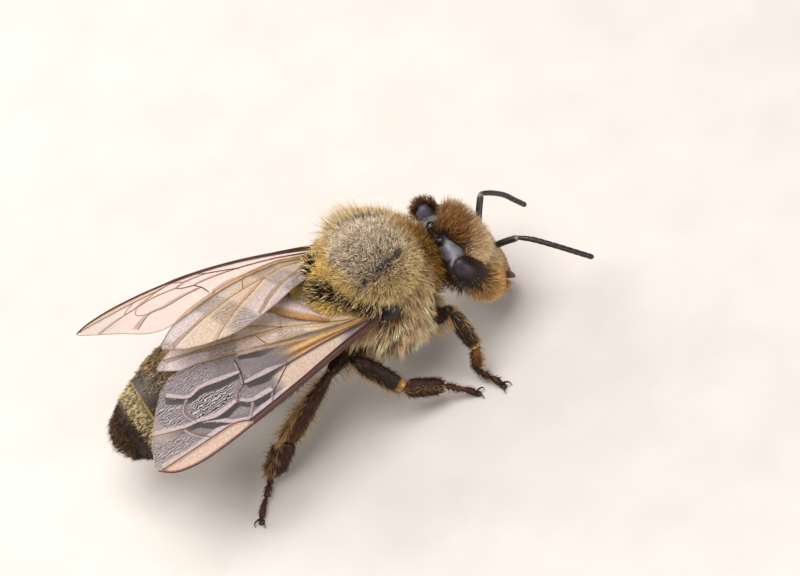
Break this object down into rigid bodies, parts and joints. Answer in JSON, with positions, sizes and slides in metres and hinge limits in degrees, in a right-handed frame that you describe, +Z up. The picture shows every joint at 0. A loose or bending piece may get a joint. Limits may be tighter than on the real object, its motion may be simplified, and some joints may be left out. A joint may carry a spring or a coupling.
{
  "type": "honey bee",
  "caption": "Worker honey bee at life size, standing on the tips of its feet with its wings folded back over the abdomen.",
  "frame": {"origin": "on the floor under the middle of the bee's bounding box", "axes": "+X towards the head, along the body, +Y to the bee's left, +Z up"},
  "size_m": [0.0168, 0.0082, 0.0066],
  "materials": {
    "fur": "dense buff and golden hair over dark cuticle",
    "cuticle": "dark brown, satin, with pale hair bands on the abdomen",
    "leg": "dark reddish brown, satin",
    "eye": "near black, glossy, finely faceted",
    "wing": "clear smoky membrane with brown veins",
    "antenna": "dark brown, matt"
  },
  "bodies": {
    "root": {"thorax": "fur", "head": "fur", "eye_left": "eye", "mandible_left": "cuticle", "antenna_left_scape": "antenna", "antenna_left_flagellum": "antenna", "eye_right": "eye", "mandible_right": "cuticle", "antenna_right_scape": "antenna", "antenna_right_flagellum": "antenna", "abdomen_segment_1": "cuticle", "abdomen_segment_2": "cuticle", "abdomen_segment_3": "cuticle", "abdomen_segment_4": "cuticle", "abdomen_segment_5": "cuticle", "abdomen_segment_6": "cuticle", "tegula_left": "cuticle", "forewing_left": "wing", "hindwing_left": "wing", "tegula_right": "cuticle", "forewing_right": "wing", "hindwing_right": "wing", "leg_fore_left_femur": "leg", "leg_fore_left_tibia": "leg", "leg_fore_left_tarsus": "leg", "leg_mid_left_femur": "leg", "leg_mid_left_tibia": "leg", "leg_mid_left_tarsus": "leg", "leg_hind_left_femur": "leg", "leg_hind_left_tibia": "leg", "leg_hind_left_tarsus": "leg", "leg_fore_right_femur": "leg", "leg_fore_right_tibia": "leg", "leg_fore_right_tarsus": "leg", "leg_mid_right_femur": "leg", "leg_mid_right_tibia": "leg", "leg_mid_right_tarsus": "leg", "leg_hind_right_femur": "leg", "leg_hind_right_tibia": "leg", "leg_hind_right_tarsus": "leg"}
  },
  "joints": []
}
